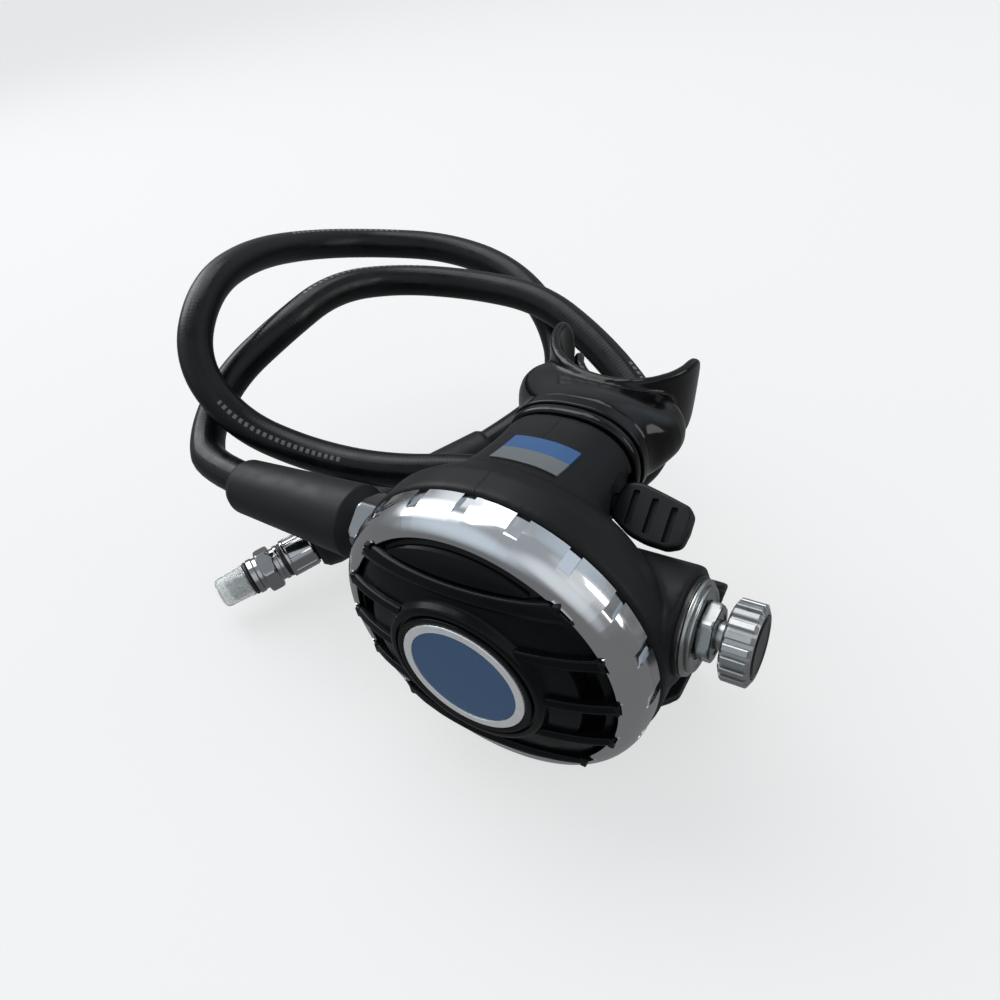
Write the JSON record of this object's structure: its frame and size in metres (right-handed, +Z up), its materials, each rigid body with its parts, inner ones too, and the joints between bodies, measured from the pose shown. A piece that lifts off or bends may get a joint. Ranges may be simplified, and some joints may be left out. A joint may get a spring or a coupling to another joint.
{
  "type": "scuba regulator second stage with hose",
  "caption": "Scuba regulator second stage: ringed purge cover, adjustment knob, venturi lever, exhaust tee, mouthpiece and a coiled low pressure hose with a capped end fitting.",
  "frame": {"origin": "on the flat underside of the exhaust tee, under the middle of the cover's axis", "axes": "+X along the valve barrel towards the adjustment knob, -Y out of the front cover, +Z up"},
  "size_m": [0.2209, 0.181, 0.0983],
  "materials": {
    "chrome": "polished",
    "satin_metal": "satin",
    "blue_disc": "satin",
    "black_plastic": "matte",
    "gloss_black": "gloss",
    "black_rubber": "matte",
    "hose_black": "satin",
    "guard_black": "matte",
    "brass": "plain",
    "steel": "plain",
    "silicone": "matte",
    "clear_cap": "translucent",
    "nylon_black": "satin",
    "label": "gloss"
  },
  "bodies": {
    "case": {"case_body": "black_plastic", "cover_ring": "chrome", "label_plate": "label", "valve_barrel": "chrome", "barrel_gasket": "black_rubber", "flange_washer": "chrome", "packing_nut": "chrome", "shaft_o_ring": "black_rubber", "inlet_orifice": "brass", "lever_pin": "steel", "diaphragm_membrane": "silicone", "exhaust_valve": "silicone", "exhaust_tee": "black_rubber", "mouthpiece": "gloss_black", "mouthpiece_tie": "nylon_black", "hose_stem": "chrome", "inlet_o_ring": "black_rubber", "hose_guard": "guard_black", "hose_tube": "hose_black", "long_hose_guard": "guard_black", "supply_ferrule": "satin_metal", "ferrule_band": "black_rubber", "supply_fitting": "chrome", "fitting_o_ring": "black_rubber", "poppet_spring": "steel"},
    "purge_button": {"purge_cover": "black_plastic", "medallion_rim": "satin_metal", "medallion_disc": "blue_disc"},
    "plate": {"diaphragm_plate": "steel"},
    "lever": {"demand_lever": "steel"},
    "poppet": {"poppet": "brass", "poppet_seat": "black_rubber"},
    "knob": {"adjustment_shaft": "chrome", "adjustment_knob": "chrome", "knob_end_disc": "nylon_black"},
    "spring_pad": {"spring_pad": "brass"},
    "venturi": {"venturi_lever": "black_plastic", "venturi_vane": "black_plastic"},
    "swivel": {"swivel_nut": "chrome"},
    "cap": {"thread_cap": "clear_cap"}
  },
  "joints": [
    {"name": "purge_press", "type": "slide", "parent": "case", "child": "purge_button", "axis": [0, 1, 0], "range_m": [0, 0.0025], "stiffness_N_per_m": 300},
    {"name": "diaphragm_travel", "type": "slide", "parent": "case", "child": "plate", "axis": [0, 1, 0], "range_m": [0, 0.0026]},
    {"name": "demand_lever_swing", "type": "hinge", "parent": "case", "child": "lever", "pos_m": [0.015, -0.0146, 0.0485], "axis": [0, 0, -1], "range_deg": [0, 9.5]},
    {"name": "poppet_lift", "type": "slide", "parent": "case", "child": "poppet", "axis": [1, 0, 0], "range_m": [0, 0.0006]},
    {"name": "knob_turn", "type": "hinge", "parent": "case", "child": "knob", "pos_m": [0.055, -0.011, 0.0485], "axis": [-1, 0, 0], "range_deg": [0, 720]},
    {"name": "spring_pad_travel", "type": "slide", "parent": "case", "child": "spring_pad", "axis": [-1, 0, 0], "range_m": [0, 0.0021]},
    {"name": "venturi_turn", "type": "hinge", "parent": "case", "child": "venturi", "pos_m": [0.025, 0.006, 0.064], "axis": [1, 0, 0], "range_deg": [-40, 0]},
    {"name": "swivel_nut_turn", "type": "hinge", "parent": "case", "child": "swivel", "pos_m": [-0.049, -0.011, 0.0485], "axis": [1, 0, 0], "continuous": true},
    {"name": "thread_cap_pull", "type": "slide", "parent": "case", "child": "cap", "axis": [-0.5083, -0.8549, -0.104], "range_m": [0, 0.014]}
  ],
  "couplings": [
    {"joint": "diaphragm_travel", "follows": "purge_press", "ratio": 1},
    {"joint": "demand_lever_swing", "follows": "purge_press", "rad_per_m": 65},
    {"joint": "poppet_lift", "follows": "purge_press", "ratio": 0.22},
    {"joint": "spring_pad_travel", "follows": "knob_turn", "m_per_rad": 0.00015915}
  ]
}
